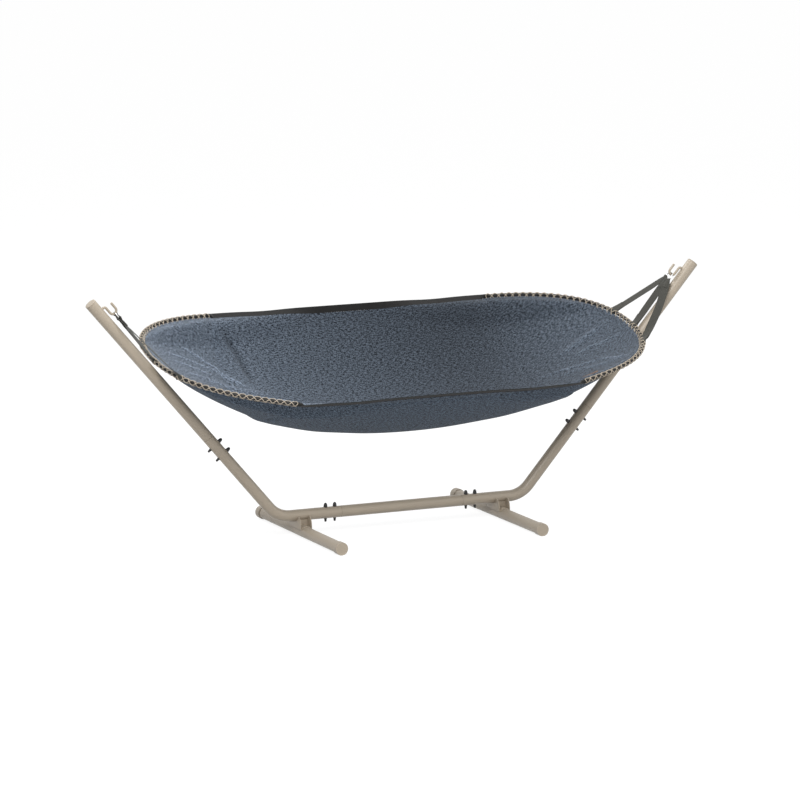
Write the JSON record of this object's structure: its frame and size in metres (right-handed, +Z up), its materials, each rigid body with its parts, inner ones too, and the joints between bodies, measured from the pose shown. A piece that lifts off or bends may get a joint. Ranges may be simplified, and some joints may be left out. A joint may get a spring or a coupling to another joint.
{
  "type": "hammock with stand",
  "caption": "Free-standing garden hammock: laced oval fabric bed hung by straps and rings from hooks on a bolted steel tube stand with two cross feet.",
  "frame": {"origin": "on the floor under the middle of the plan, halfway between the two poles", "axes": "+X along the hammock, from its left pole to its right pole; +Y from its front to its back; +Z up"},
  "size_m": [3.2098, 1.1276, 1.211],
  "materials": {
    "stand_tube": "satin taupe powder coat with a light metallic fleck",
    "bolt_cap": "moulded black plastic, semi-matt",
    "fastener": "zinc-plated steel",
    "rim_tube": "satin black powder coat",
    "lacing_cord": "round braided beige cord",
    "webbing": "woven dark grey polyester webbing",
    "ring": "polished welded ring",
    "sling_fabric": null,
    "label_leather": "smooth brown leather, blank"
  },
  "bodies": {
    "stand": {"centre_tube": "stand_tube", "lower_tube_left": "stand_tube", "upper_tube_left": "stand_tube", "pole_cap_left": "stand_tube", "hook_left": "stand_tube", "foot_tube_left": "stand_tube", "foot_cap_front_left": "stand_tube", "foot_cap_back_left": "stand_tube", "foot_bracket_left": "stand_tube", "foot_bolt_left": "fastener", "joint_bolt_centre_1_left": "fastener", "bolt_head_cap_centre_1_left": "bolt_cap", "cap_nut_centre_1_left": "bolt_cap", "joint_bolt_centre_2_left": "fastener", "bolt_head_cap_centre_2_left": "bolt_cap", "cap_nut_centre_2_left": "bolt_cap", "joint_bolt_pole_1_left": "fastener", "bolt_head_cap_pole_1_left": "bolt_cap", "cap_nut_pole_1_left": "bolt_cap", "joint_bolt_pole_2_left": "fastener", "bolt_head_cap_pole_2_left": "bolt_cap", "cap_nut_pole_2_left": "bolt_cap", "lower_tube_right": "stand_tube", "upper_tube_right": "stand_tube", "pole_cap_right": "stand_tube", "hook_right": "stand_tube", "foot_tube_right": "stand_tube", "foot_cap_front_right": "stand_tube", "foot_cap_back_right": "stand_tube", "foot_bracket_right": "stand_tube", "foot_bolt_right": "fastener", "joint_bolt_centre_1_right": "fastener", "bolt_head_cap_centre_1_right": "bolt_cap", "cap_nut_centre_1_right": "bolt_cap", "joint_bolt_centre_2_right": "fastener", "bolt_head_cap_centre_2_right": "bolt_cap", "cap_nut_centre_2_right": "bolt_cap", "joint_bolt_pole_1_right": "fastener", "bolt_head_cap_pole_1_right": "bolt_cap", "cap_nut_pole_1_right": "bolt_cap", "joint_bolt_pole_2_right": "fastener", "bolt_head_cap_pole_2_right": "bolt_cap", "cap_nut_pole_2_right": "bolt_cap"},
    "bed": {"fabric": "sling_fabric", "leather_label": "label_leather", "side_band_back": "webbing", "side_band_front": "webbing", "rim_tube_left": "rim_tube", "lacing_left": "lacing_cord", "hanging_ring_left": "ring", "strap_front_left": "webbing", "strap_middle_left": "webbing", "strap_back_left": "webbing", "rim_tube_right": "rim_tube", "lacing_right": "lacing_cord", "hanging_ring_right": "ring", "strap_front_right": "webbing", "strap_middle_right": "webbing", "strap_back_right": "webbing"}
  },
  "joints": [
    {"name": "bed_swing", "type": "hinge", "parent": "stand", "child": "bed", "pos_m": [0, -0.06277, 1.14037], "axis": [1, 0, 0], "range_deg": [-33.38, 6.62]}
  ]
}
